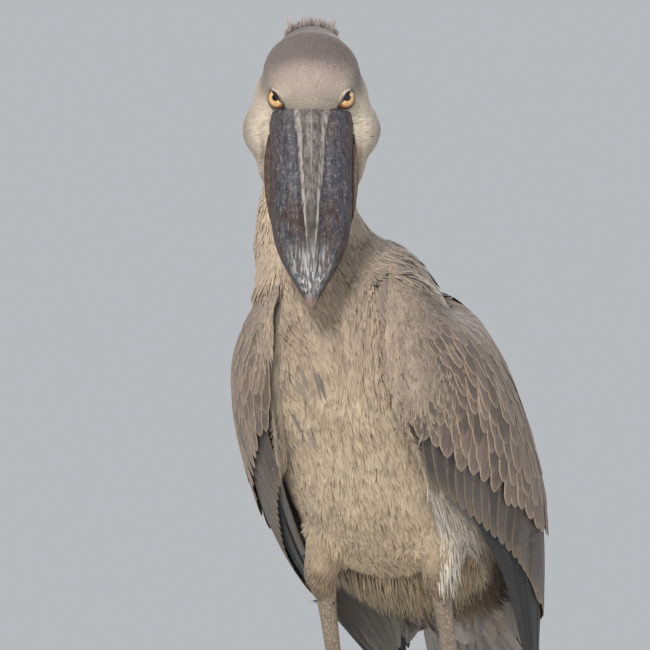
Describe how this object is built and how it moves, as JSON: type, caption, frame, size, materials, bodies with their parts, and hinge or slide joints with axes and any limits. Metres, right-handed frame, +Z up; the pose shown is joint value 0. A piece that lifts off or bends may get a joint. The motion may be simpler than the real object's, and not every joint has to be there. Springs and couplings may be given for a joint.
{
  "type": "shoebill",
  "caption": "Life-size standing shoebill, bill held down, body turned under the head, wings folded low at the sides.",
  "frame": {"origin": "on the floor, under the middle of the bird's box", "axes": "+Z up, the head looks along -Y, the bird's left side is towards +X"},
  "size_m": [0.3958, 0.589, 1.1329],
  "materials": {
    "body_feathers": "soft, buff-grey plumage",
    "head_feathers": "short, dense brown-grey plumage",
    "flight_feathers": "brown-grey vanes with pale edges",
    "bill": "worn slate horn with brown mottling",
    "leg_skin": "scaled skin",
    "claw": "dark horn",
    "eye": "wet, golden iris"
  },
  "bodies": {
    "root": {"claw_left_hallux": "claw", "claw_left_inner": "claw", "claw_left_middle": "claw", "claw_left_outer": "claw", "claw_right_hallux": "claw", "claw_right_inner": "claw", "claw_right_middle": "claw", "claw_right_outer": "claw", "crest": "head_feathers", "eye_left": "eye", "eye_right": "eye", "head": "head_feathers", "lower_bill": "bill", "neck": "body_feathers", "shank_left": "leg_skin", "shank_right": "leg_skin", "tail": "flight_feathers", "tarsus_left": "leg_skin", "tarsus_right": "leg_skin", "thigh_left": "body_feathers", "thigh_right": "body_feathers", "toe_left_hallux": "leg_skin", "toe_left_inner": "leg_skin", "toe_left_middle": "leg_skin", "toe_left_outer": "leg_skin", "toe_right_hallux": "leg_skin", "toe_right_inner": "leg_skin", "toe_right_middle": "leg_skin", "toe_right_outer": "leg_skin", "torso": "body_feathers", "upper_bill": "bill", "wing_left": "flight_feathers", "wing_right": "flight_feathers"}
  },
  "joints": []
}
